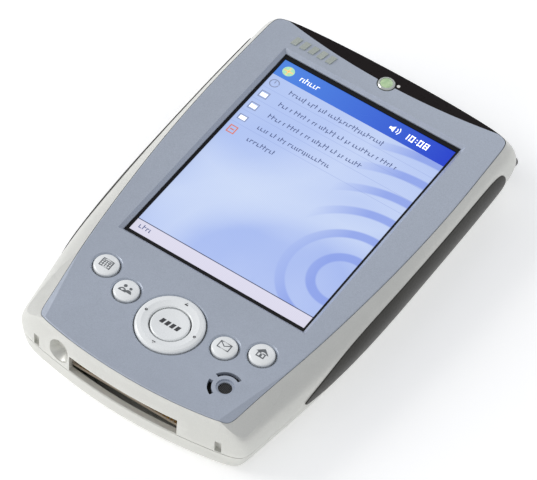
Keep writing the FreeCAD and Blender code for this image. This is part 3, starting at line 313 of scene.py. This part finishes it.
SCREEN_LOW, SCREEN_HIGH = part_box("touch_panel")
GLASS_TOP = SCREEN_HIGH.z
PICTURE_WIDTH = 53.6 * MM
PICTURE_HEIGHT = 71.5 * MM
PICTURE_LEFT = -PICTURE_WIDTH / 2
PICTURE_LOW = (SCREEN_LOW.y + SCREEN_HIGH.y) / 2 - PICTURE_HEIGHT / 2
PICTURE_TOP = PICTURE_LOW + PICTURE_HEIGHT
TITLE_HEIGHT = 6.0 * MM
MENU_HEIGHT = 4.1 * MM
ROW_PITCH = 4.95 * MM


def band(graph, source, low, high, soft):
    """1 between low and high, fading over soft at both ends."""
    rise = graph.spread(source, 0.0, 1.0, low - soft, low + soft)
    fall = graph.spread(source, 1.0, 0.0, high - soft, high + soft)
    return graph.math("MULTIPLY", rise, fall)


def ring(graph, x, y, centre, radius, soft):
    """1 on a soft circle line."""
    across = graph.math("SUBTRACT", x, centre[0])
    along = graph.math("SUBTRACT", y, centre[1])
    squares = graph.math("ADD", graph.math("MULTIPLY", across, across),
                         graph.math("MULTIPLY", along, along))
    distance = graph.math("SQRT", squares)
    return distance, band(graph, distance, radius - soft, radius + soft, soft)


def screen_material():
    """A lit colour display under a touch panel: sky-blue wallpaper, title bar and menu bar."""
    graph = Graph("display_picture")
    x, y, _ = graph.axes()
    drift = graph.noise(38.0, 2.0)
    swoosh = graph.noise(22.0, 3.0, 0.45)
    down = graph.spread(y, 0.0, 1.0, PICTURE_LOW, PICTURE_TOP)
    across = graph.spread(x, 0.0, 1.0, PICTURE_LEFT, -PICTURE_LEFT)
    sky = graph.mix(down, (0.36, 0.48, 0.90, 1), (0.41, 0.54, 0.90, 1))
    sky = graph.mix(graph.math("MULTIPLY", across, 0.35), sky, (0.30, 0.40, 0.86, 1))
    pale = (0.66, 0.76, 0.97, 1)
    # broad pale sweeps that cross the middle of the picture
    middle = PICTURE_LOW + PICTURE_HEIGHT * 0.46
    sweeps = [((0.030, middle - 0.052), 0.066, 0.0085), ((-0.050, middle + 0.036), 0.058, 0.0060),
              ((0.012, middle - 0.030), 0.031, 0.0045), ((-0.006, middle + 0.050), 0.055, 0.0050)]
    for centre, radius, soft in sweeps:
        _, line = ring(graph, x, y, centre, radius, soft)
        sky = graph.mix(graph.math("MULTIPLY", line, 0.55), sky, pale)
    sky = graph.mix(graph.spread(swoosh, 0.0, 0.45), sky, pale)
    sky = graph.mix(graph.spread(drift, 0.0, 0.25), sky, (0.50, 0.60, 0.94, 1))
    # a plain ripple of rings rises up the right side, where a picture mark would be
    ripple_centre = (0.0262, PICTURE_LOW + 0.018)
    for index in range(6):
        distance, _ = ring(graph, x, y, ripple_centre, 0.0, 0.001)
        radius = 0.0065 + 0.0078 * index
        line = band(graph, distance, radius, radius + 0.0026, 0.00025)
        right_only = graph.spread(x, 0.0, 0.85, 0.007, 0.020)
        sky = graph.mix(graph.math("MULTIPLY", line, right_only), sky, (0.26, 0.36, 0.84, 1))
    title_low = PICTURE_TOP - TITLE_HEIGHT
    title = graph.mix(across, (0.08, 0.25, 0.80, 1), (0.012, 0.050, 0.62, 1))
    in_title = graph.math("GREATER_THAN", y, title_low)
    picture = graph.mix(in_title, sky, title)
    menu_top = PICTURE_LOW + MENU_HEIGHT
    in_menu = graph.math("LESS_THAN", y, menu_top)
    picture = graph.mix(in_menu, picture, (0.76, 0.74, 0.88, 1))
    rule = band(graph, y, menu_top, menu_top + 0.00025, 0.00003)
    picture = graph.mix(rule, picture, (0.05, 0.06, 0.12, 1))
    for index in range(1, 5):
        level = title_low - 0.0002 - ROW_PITCH * index
        line = band(graph, y, level, level + 0.00018, 0.00003)
        picture = graph.mix(graph.math("MULTIPLY", line, 0.35), picture, (0.25, 0.33, 0.70, 1))
    # columns of dots, and a black border outside the lit area
    dots = graph.nodes.new("ShaderNodeTexWave")
    dots.inputs["Scale"].default_value = 700.0
    graph.link(graph.place, dots.inputs["Vector"])
    picture = graph.mix(graph.math("MULTIPLY", dots.outputs["Fac"], 0.05), picture, (0.1, 0.1, 0.2, 1))
    lit = graph.math("MULTIPLY",
                     band(graph, x, PICTURE_LEFT, -PICTURE_LEFT, 0.00002),
                     band(graph, y, PICTURE_LOW, PICTURE_TOP, 0.00002))
    picture = graph.mix(lit, (0.004, 0.004, 0.005, 1), picture)
    graph.set_input("Base Color", graph.mix(0.75, picture, (0.0, 0.0, 0.0, 1)))
    graph.set_input("Emission Color", picture)
    graph.value("Emission Strength", 0.78)
    smears = graph.noise(90.0, 4.0, 0.6)
    graph.set_input("Roughness", graph.spread(smears, 0.16, 0.30))
    graph.value("Specular IOR Level", 0.3)
    return graph.done()


# ---------------------------------------------------------------- materials of the CAD parts

SILVER = (0.68, 0.68, 0.64)
PEARL = (0.90, 0.92, 0.92)


def board_material():
    """Green solder mask with faint copper tracks under it."""
    graph = Graph("solder_mask")
    tracks = graph.nodes.new("ShaderNodeTexBrick")
    tracks.inputs["Scale"].default_value = 420.0
    tracks.inputs["Mortar Size"].default_value = 0.03
    tracks.inputs["Color1"].default_value = (0.012, 0.11, 0.045, 1)
    tracks.inputs["Color2"].default_value = (0.016, 0.14, 0.055, 1)
    tracks.inputs["Mortar"].default_value = (0.03, 0.24, 0.09, 1)
    graph.link(graph.place, tracks.inputs["Vector"])
    graph.set_input("Base Color", tracks.outputs["Color"])
    graph.set_input("Roughness", graph.spread(graph.noise(300.0), 0.25, 0.4))
    graph.bump(tracks.outputs["Fac"], 0.2, 0.00003)
    return graph.done()


def lens_material():
    """A pale green light guide with a cloudy tone and a faint glow."""
    graph = Graph("power_light")
    cloud = graph.noise(900.0, 3.0)
    green = graph.mix(graph.spread(cloud, 0.0, 1.0), (0.34, 0.52, 0.28, 1), (0.50, 0.66, 0.38, 1))
    graph.set_input("Base Color", green)
    graph.set_input("Emission Color", green)
    graph.value("Emission Strength", 0.12)
    graph.set_input("Roughness", graph.spread(cloud, 0.15, 0.3))
    graph.value("Coat Weight", 0.6)
    return graph.done()


def make_materials():
    silver = lacquer("silver_lacquer", SILVER, 0.40, 0.40, 0.2, 0.06)
    tin = metal("tin_plate", (0.62, 0.62, 0.60), 0.30)
    steel = metal("plated_steel", (0.55, 0.55, 0.55), 0.28)
    gold = metal("gold_flash", (0.83, 0.58, 0.24), 0.22)
    black = plastic("black_moulding", (0.022, 0.022, 0.023), 0.45)
    chip = plastic("chip_epoxy", (0.02, 0.02, 0.022), 0.6, 0.5)
    nylon = plastic("nylon", (0.62, 0.62, 0.60), 0.5, 0.2)
    pearl = lacquer("pearl_lacquer", PEARL, 0.0, 0.28, 0.4, 0.04, 0.0)
    return {
        "face_plate": lacquer("blue_grey_lacquer", (0.455, 0.500, 0.580), 0.38, 0.40, 0.12, 0.12, 0.15),
        "upper_housing": silver,
        "back_cover": silver,
        "battery_case": silver,
        "top_cap": dull(plastic("smoked_window", (0.010, 0.007, 0.007), 0.30, 0.03, 900.0), 0.12),
        "left_grip": rubber("grip_rubber", (0.026, 0.024, 0.019)),
        "display_gasket": dull(plastic("gasket_foam", (0.010, 0.010, 0.011), 0.75, 0.5), 0.2),
        "touch_panel": screen_material(),
        "lcd_panel": plastic("lcd_glass", (0.10, 0.12, 0.16), 0.12, 0.02),
        "backlight_tray": tin,
        "display_flex": plastic("flex_film", (0.42, 0.20, 0.035), 0.3, 0.05),
        "main_board": board_material(),
        "processor_chip": chip,
        "shield_can": tin,
        "backup_cell": steel,
        "battery_contacts": gold,
        "speaker": dull(plastic("speaker_cone", (0.016, 0.015, 0.014), 0.7, 0.6), 0.2),
        "microphone": tin,
        "board_screws": steel,
        "sync_connector": plastic("connector_moulding", (0.42, 0.36, 0.28), 0.5),
        "sync_contacts": gold,
        "cf_cage": tin,
        "calendar_button": pearl,
        "nav_pivot": nylon,
        "power_button": lacquer("power_rim", (0.62, 0.65, 0.60), 0.6, 0.25, 0.3, 0.05, 0.0),
        "power_lens": lens_material(),
        "status_light": plastic("white_light_guide", (0.85, 0.85, 0.80), 0.2, 0.05),
        "button_pad": rubber("silicone", (0.50, 0.51, 0.51)),
        "jog_wheel": rubber("jog_rubber", (0.035, 0.035, 0.035)),
        "reset_button": plastic("red_moulding", (0.50, 0.035, 0.025), 0.35),
        "stylus_cap": plastic("stylus_black", (0.025, 0.025, 0.026), 0.22, 0.1, 1500.0, 0.3),
        "stylus_barrel": metal("stylus_aluminium", (0.60, 0.60, 0.61), 0.3),
        "stylus_silo": plastic("silo_plastic", (0.08, 0.08, 0.08), 0.5),
        "cf_blank_card": black,
        "battery_cell": plastic("cell_film", (0.06, 0.09, 0.20), 0.35, 0.1),
        "battery_latch": plastic("latch_moulding", (0.05, 0.05, 0.052), 0.45, 0.4),
    }


SAME_MATERIAL = {
    "right_grip": "left_grip",
    "memory_chips": "processor_chip",
    "ir_module": "processor_chip",
    "case_screws": "board_screws",
    "power_inlet": "cf_blank_card",
    "headphone_jack": "sync_connector",
    "sd_socket": "cf_cage",
    "contacts_button": "calendar_button",
    "inbox_button": "calendar_button",
    "home_button": "calendar_button",
    "nav_ring": "calendar_button",
    "nav_centre": "calendar_button",
    "dome_switches": "board_screws",
    "nav_posts": "nav_pivot",
    "jog_carrier": "nav_pivot",
    "record_button": "power_button",
    "stylus_tip": "stylus_cap",
    "sd_blank_card": "cf_blank_card",
    "cf_eject_button": "cf_blank_card",
    "battery_terminals": "battery_contacts",
}


def dress_nodes():
    materials = make_materials()
    for node, item in NODES.items():
        material = materials[SAME_MATERIAL.get(node, node)]
        item.data.materials.clear()
        item.data.materials.append(material)


# ---------------------------------------------------------------- thin printed and moulded marks

PRINT_RISE = 0.012
PRINT_DEPTH = 0.05


def circle_points(x, y, radius, count=24):
    return [(x + radius * math.cos(2 * math.pi * index / count),
             y + radius * math.sin(2 * math.pi * index / count)) for index in range(count)]


def bar_points(x_low, x_high, y_low, y_high):
    return [(x_low, y_low), (x_high, y_low), (x_high, y_high), (x_low, y_high)]


def arc_band(x, y, inner, outer, start, end, steps=14):
    """A flat curved band between two radii, from start to end in degrees."""
    angles = [math.radians(start + (end - start) * index / steps) for index in range(steps + 1)]
    ring = [(x + outer * math.cos(a), y + outer * math.sin(a)) for a in angles]
    ring += [(x + inner * math.cos(a), y + inner * math.sin(a)) for a in reversed(angles)]
    return ring


def frame_bars(x, y, width, height, line):
    """The four bars of a rectangular outline centred on (x, y)."""
    left = x - width / 2
    right = x + width / 2
    low = y - height / 2
    high = y + height / 2
    return [bar_points(left, right, low, low + line), bar_points(left, right, high - line, high),
            bar_points(left, left + line, low + line, high - line),
            bar_points(right - line, right, low + line, high - line)]


def finely(outline, step=0.35):
    """The same outline with points added, so that a mark can follow a curved surface."""
    made = []
    for (x0, y0), (x1, y1) in zip(outline, outline[1:] + outline[:1]):
        parts = max(1, math.ceil(math.hypot(x1 - x0, y1 - y0) / step))
        for part in range(parts):
            share = part / parts
            made.append((x0 + (x1 - x0) * share, y0 + (y1 - y0) * share))
    return made


def middle_of(node):
    """The middle of a node's box in plan, and its top, in millimetres."""
    low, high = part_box(node)
    return (low.x + high.x) / 2 / MM, (low.y + high.y) / 2 / MM, high.z / MM


def flat(level):
    """A surface that has the same height everywhere."""
    return lambda _x, _y: level


def turned_surface(node, profile, ceiling=1000.0):
    """The height over a point of a round part, from (radius, drop below its top) pairs."""
    x0, y0, top = middle_of(node)

    def height(x, y):
        radius = math.hypot(x - x0, y - y0)
        for (near, drop), (far, next_drop) in zip(profile, profile[1:]):
            if radius <= far:
                share = max(0.0, (radius - near) / (far - near))
                return min(ceiling, top - drop - share * (next_drop - drop))
        return top - profile[-1][1]

    return height


def marks(name, outlines, material, body, surface, rise=PRINT_RISE, depth=PRINT_DEPTH):
    """Thin closed prisms whose tops follow a surface. Outlines and heights are in millimetres."""
    work = bmesh.new()
    for outline in outlines:
        if surface is not glass_surface:
            outline = finely(outline)
        low = [work.verts.new((x * MM, y * MM, (surface(x, y) - depth) * MM)) for x, y in outline]
        high = [work.verts.new((x * MM, y * MM, (surface(x, y) + rise) * MM)) for x, y in outline]
        work.faces.new(high)
        work.faces.new(list(reversed(low)))
        count = len(outline)
        for index in range(count):
            following = (index + 1) % count
            work.faces.new((low[index], low[following], high[following], high[index]))
    bmesh.ops.recalc_face_normals(work, faces=work.faces)
    mesh = bpy.data.meshes.new(name)
    work.to_mesh(mesh)
    work.free()
    piece = bpy.data.objects.new(name, mesh)
    bpy.context.scene.collection.objects.link(piece)
    piece.data.materials.append(material)
    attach(piece, body)
    return piece


def ink(name, colour, glow=0.0):
    """Printed or displayed ink with a faint mottle."""
    graph = Graph(name)
    mottle = graph.noise(2400.0, 3.0)
    tone = graph.mix(graph.spread(mottle, 0.0, 1.0), shade(colour, 0.88), shade(colour, 1.12))
    graph.set_input("Base Color", tone)
    graph.set_input("Roughness", graph.spread(mottle, 0.35, 0.5))
    if glow:
        graph.set_input("Emission Color", tone)
        graph.value("Emission Strength", glow)
    graph.bump(mottle, 0.05, 0.00001)
    return graph.done()


# ---------------------------------------------------------------- what the display shows

glass_surface = flat(GLASS_TOP / MM)
LEFT = PICTURE_LEFT / MM
TOP = PICTURE_TOP / MM
LOW = PICTURE_LOW / MM
ROWS = [30.0, 37.0, 29.0, 22.5, 9.2]
ROW_TEXT_LEFT = LEFT + 7.4
TITLE_BOTTOM = TOP - TITLE_HEIGHT / MM
PITCH = ROW_PITCH / MM
ICON_X = LEFT + 2.3
START_X = LEFT + 3.0
CLOCK_LEFT = LEFT + 39.6
DIGIT_LOW = TITLE_BOTTOM + 1.9
DIGIT_PITCH = 1.75
STROKE = 0.24
SMALL_LETTER = 0.68


def unreadable_words(x, y, length, height, seed):
    """A row of short marks in word-like groups that spell nothing."""
    shapes = []
    place = x
    step = seed
    while place < x + length:
        step = (step * 37 + 11) % 101
        width = 0.42 + 0.22 * (step % 3)
        tall = height * (1.0 if step % 4 == 0 else SMALL_LETTER)
        drop = height * 0.22 if step % 7 == 0 else 0.0
        shapes.append(bar_points(place, place + STROKE, y - drop, y + tall))
        top = y + STROKE if step % 2 else y + height * SMALL_LETTER
        bottom = y if step % 2 else top - STROKE
        shapes.append(bar_points(place + STROKE, place + width, bottom, top))
        place += width + (0.95 if step % 6 == 0 else STROKE)
    return shapes


def digit_bars(digit, x, y, width, height, line):
    """A plain seven-bar digit."""
    middle = y + height / 2
    parts = {
        "top": bar_points(x, x + width, y + height - line, y + height),
        "middle": bar_points(x, x + width, middle - line / 2, middle + line / 2),
        "bottom": bar_points(x, x + width, y, y + line),
        "upper_left": bar_points(x, x + line, middle, y + height),
        "upper_right": bar_points(x + width - line, x + width, middle, y + height),
        "lower_left": bar_points(x, x + line, y, middle),
        "lower_right": bar_points(x + width - line, x + width, y, middle),
    }
    lit = {
        "0": ("top", "bottom", "upper_left", "upper_right", "lower_left", "lower_right"),
        "1": ("upper_right", "lower_right"),
        "8": tuple(parts),
    }
    return [parts[name] for name in lit[digit]]


def show(name, shapes, material, rise=PRINT_RISE):
    """Marks that lie on the glass of the display."""
    marks(name, shapes, material, "casing", glass_surface, rise)


def build_display_rows():
    """Five rows that read as text from afar, and one word in the menu bar."""
    rows = []
    for index, length in enumerate(ROWS):
        base = TITLE_BOTTOM - PITCH * (index + 0.68) - 0.3
        rows += unreadable_words(ROW_TEXT_LEFT, base, length, 1.55, 7 + 13 * index)
    rows += unreadable_words(LEFT + 1.6, LOW + 1.7, 3.6, 1.6, 5)
    show("display_rows", rows, ink("display_dark", (0.07, 0.10, 0.24), 0.25))


def loudspeaker(x, y):
    """A small horn with two sound waves, from its lower left corner."""
    horn = [(x, y + 0.7), (x + 0.6, y + 0.7), (x + 1.5, y),
            (x + 1.5, y + 2.2), (x + 0.6, y + 1.5),
            (x, y + 1.5)]
    waves = [arc_band(x + 1.3, y + 1.1, radius, radius + 0.25, -40, 40, 6) for radius in (1.0, 1.7)]
    return [horn] + waves


def clock():
    """Four generic digits with a colon between the pairs."""
    shapes = []
    for index, digit in enumerate("1008"):
        gap = 0.9 if index > 1 else 0.0
        shapes += digit_bars(digit, CLOCK_LEFT + DIGIT_PITCH * index + gap, DIGIT_LOW, 1.25, 2.1, 0.32)
    for level in (0.5, 1.35):
        shapes.append(bar_points(CLOCK_LEFT + 3.55, CLOCK_LEFT + 3.9, DIGIT_LOW + level,
                                 DIGIT_LOW + level + 0.34))
    return shapes


def build_display_title(white):
    """The title bar: a word-like group, the clock, a loudspeaker and a round mark with a cross."""
    title = unreadable_words(ROW_TEXT_LEFT - 0.4, TITLE_BOTTOM + 2.0, 5.4, 1.9, 17)
    title += clock() + loudspeaker(CLOCK_LEFT - 4.6, DIGIT_LOW)
    show("display_title", title, white)
    disc = circle_points(START_X, TITLE_BOTTOM + 3.0, 1.7)
    show("display_start_mark", [disc], ink("display_green", (0.35, 0.62, 0.38), 0.5))
    cross = [bar_points(START_X - 0.2, START_X + 0.2, TITLE_BOTTOM + 1.6, TITLE_BOTTOM + 4.4),
             bar_points(START_X - 1.4, START_X + 1.4, TITLE_BOTTOM + 2.8, TITLE_BOTTOM + 3.2)]
    show("display_start_cross", cross, ink("display_amber", (0.80, 0.52, 0.22), 0.5), 0.02)


def build_display_icons(white):
    """One icon beside each row: a dial, three panes and a red slip."""
    dial_row = 0
    slip_row = 4
    outlines = []
    fills = []
    slip = []
    for index in range(len(ROWS)):
        middle = TITLE_BOTTOM - PITCH * (index + 0.5) - 0.2
        if index == dial_row:
            outlines.append(arc_band(ICON_X, middle, 1.15, 1.45, 0, 350, 24))
            outlines.append(bar_points(ICON_X - 0.13, ICON_X + 0.13, middle, middle + 0.9))
        elif index == slip_row:
            slip += frame_bars(ICON_X, middle, 2.4, 2.8, 0.34)
            slip.append(bar_points(ICON_X - 0.6, ICON_X + 0.6, middle - 0.2, middle + 0.2))
        else:
            outlines += frame_bars(ICON_X, middle, 2.7, 2.5 if index != 3 else 2.0, STROKE)
            fills.append(bar_points(ICON_X - 0.95, ICON_X + 0.95, middle - 0.7, middle + 0.6))
    show("display_icons", outlines, ink("display_grey", (0.22, 0.26, 0.40), 0.3))
    show("display_icon_fills", fills, white)
    show("display_warm_icon", slip, ink("display_red", (0.55, 0.16, 0.12), 0.5))


def build_display_marks():
    white = ink("display_white", (0.90, 0.93, 1.0), 0.7)
    build_display_rows()
    build_display_title(white)
    build_display_icons(white)


# ---------------------------------------------------------------- marks on the buttons and the face

def calendar_icon(x, y):
    shapes = frame_bars(x, y, 3.3, 2.7, 0.28)
    for shift in (-0.75, 0.0, 0.75):
        shapes.append(bar_points(x + shift - 0.12, x + shift + 0.12, y - 1.05, y + 0.6))
    for shift in (-0.45, 0.2, 0.75):
        shapes.append(bar_points(x - 1.35, x + 1.35, y + shift - 0.1, y + shift + 0.1))
    return shapes


def people_icon(x, y):
    shapes = []
    for shift, size in ((-0.75, 1.0), (0.95, 0.8)):
        shapes.append(circle_points(x + shift, y + 0.75 * size, 0.5 * size, 16))
        shapes.append(arc_band(x + shift, y - 1.15 * size, 0.0001, 1.15 * size, 0, 180, 12))
    return shapes


def envelope_icon(x, y):
    shapes = frame_bars(x, y, 3.4, 2.3, 0.26)
    for side in (-1, 1):
        shapes.append([(x, y - 0.35), (x, y - 0.05), (x + side * 1.5, y + 1.0), (x + side * 1.5, y + 0.7)])
    return shapes


def home_icon(x, y):
    roof = [(x - 1.8, y + 0.1), (x + 1.8, y + 0.1), (x, y + 1.6)]
    walls = frame_bars(x, y - 0.65, 2.3, 1.5, 0.3)
    door = bar_points(x - 0.3, x + 0.3, y - 1.2, y - 0.3)
    return [roof, door] + walls


BUTTON_PROFILE = [(0.0, 0.0), (1.15, 0.05), (2.15, 0.17), (2.95, 0.35), (3.23, 0.5)]
ICON_RISE = 0.03


def build_button_icons():
    grey = ink("button_print", (0.14, 0.15, 0.16))
    icons = {"calendar_button": calendar_icon, "contacts_button": people_icon,
             "inbox_button": envelope_icon, "home_button": home_icon}
    for node, draw in icons.items():
        x, y, top = middle_of(node)
        crown = turned_surface(node, BUTTON_PROFILE, top - ICON_RISE)
        marks(node + "_icon", draw(x, y), grey, node, crown, ICON_RISE)


NAV_ARROW_RADIUS = 7.3
NAV_RING_PROFILE = [(5.7, 0.35), (6.65, 0.18), (7.35, 0.0), (8.35, 0.12), (8.77, 0.35)]
NAV_CENTRE_PROFILE = [(0.0, 0.33), (2.6, 0.25), (4.15, 0.05), (4.75, 0.0)]


def build_nav_marks():
    dark = ink("nav_print", (0.05, 0.05, 0.055))
    x, y, _ = middle_of("nav_ring")
    shapes = []
    for way in (-1, 1):
        point = y + way * (NAV_ARROW_RADIUS + 0.45)
        base = y + way * (NAV_ARROW_RADIUS - 0.4)
        shapes.append([(x - 0.55, base), (x + 0.55, base), (x, point)])
        shapes.append(circle_points(x + way * NAV_ARROW_RADIUS, y, 0.38, 16))
    marks("nav_arrows", shapes, dark, "nav_ring",
          turned_surface("nav_ring", NAV_RING_PROFILE), 0.045)
    x, y, _ = middle_of("nav_centre")
    bars = [slanted_bar(x - 2.9 + 1.5 * index, y, 1.0, 1.5, 0.35) for index in range(4)]
    marks("nav_centre_mark", bars, dark, "nav_centre",
          turned_surface("nav_centre", NAV_CENTRE_PROFILE), 0.04)


def slanted_bar(x, y, width, height, lean):
    return [(x, y - height / 2), (x + width, y - height / 2),
            (x + width + lean, y + height / 2), (x + lean, y + height / 2)]


def build_badge():
    """Five plain raised bars at the top left of the face."""
    surface = flat(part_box("face_plate")[1].z / MM)
    bars = [slanted_bar(-28.4 + 2.75 * index, 54.3, 1.75, 2.9, 0.5) for index in range(5)]
    chrome = lacquer("badge_chrome", (0.58, 0.62, 0.56), 0.75, 0.25, 0.3, 0.05, 0.0)
    plate = marks("face_badge", bars, chrome, "casing", surface, 0.3)
    bevel = plate.modifiers.new("edge", "BEVEL")
    bevel.width = 0.12 * MM
    bevel.segments = 2
    bevel.angle_limit = math.radians(40)
    bevel.limit_method = "ANGLE"


# ---------------------------------------------------------------- speaker wire and connector comb

def build_port_mesh():
    """Two layers of fine wire across the round speaker port."""
    x, y, _ = middle_of("speaker")
    reach = 1.75
    pitch = 0.42
    half = 0.09
    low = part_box("face_plate")[0].z / MM + 0.25
    rows = []
    columns = []
    for index in range(-4, 5):
        shift = index * pitch
        if abs(shift) > reach - 0.1:
            continue
        span = math.sqrt(reach * reach - shift * shift)
        rows.append(bar_points(x - span, x + span, y + shift - half, y + shift + half))
        columns.append(bar_points(x + shift - half, x + shift + half, y - span, y + span))
    wire = plastic("port_wire", (0.05, 0.05, 0.05), 0.5)
    marks("port_mesh_rows", rows, wire, "casing", flat(low), 0.06, 0.06)
    marks("port_mesh_columns", columns, wire, "casing", flat(low + 0.14), 0.06, 0.06)


def build_connector_comb():
    """The ribbed bar at the back of the sync opening."""
    first = -14.6
    pitch = 1.15
    width = 0.5
    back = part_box("sync_connector")[1].y / MM - 1.0
    teeth = [bar_points(first + pitch * index, first + width + pitch * index, back - 0.55, back)
             for index in range(26)]
    black = plastic("comb_moulding", (0.02, 0.02, 0.02), 0.4)
    marks("sync_comb", teeth, black, "casing", flat(10.9), 0.0, 1.7)


make_camera()
make_stage()
dress_nodes()
build_display_marks()
build_button_icons()
build_nav_marks()
build_badge()
build_port_mesh()
build_connector_comb()
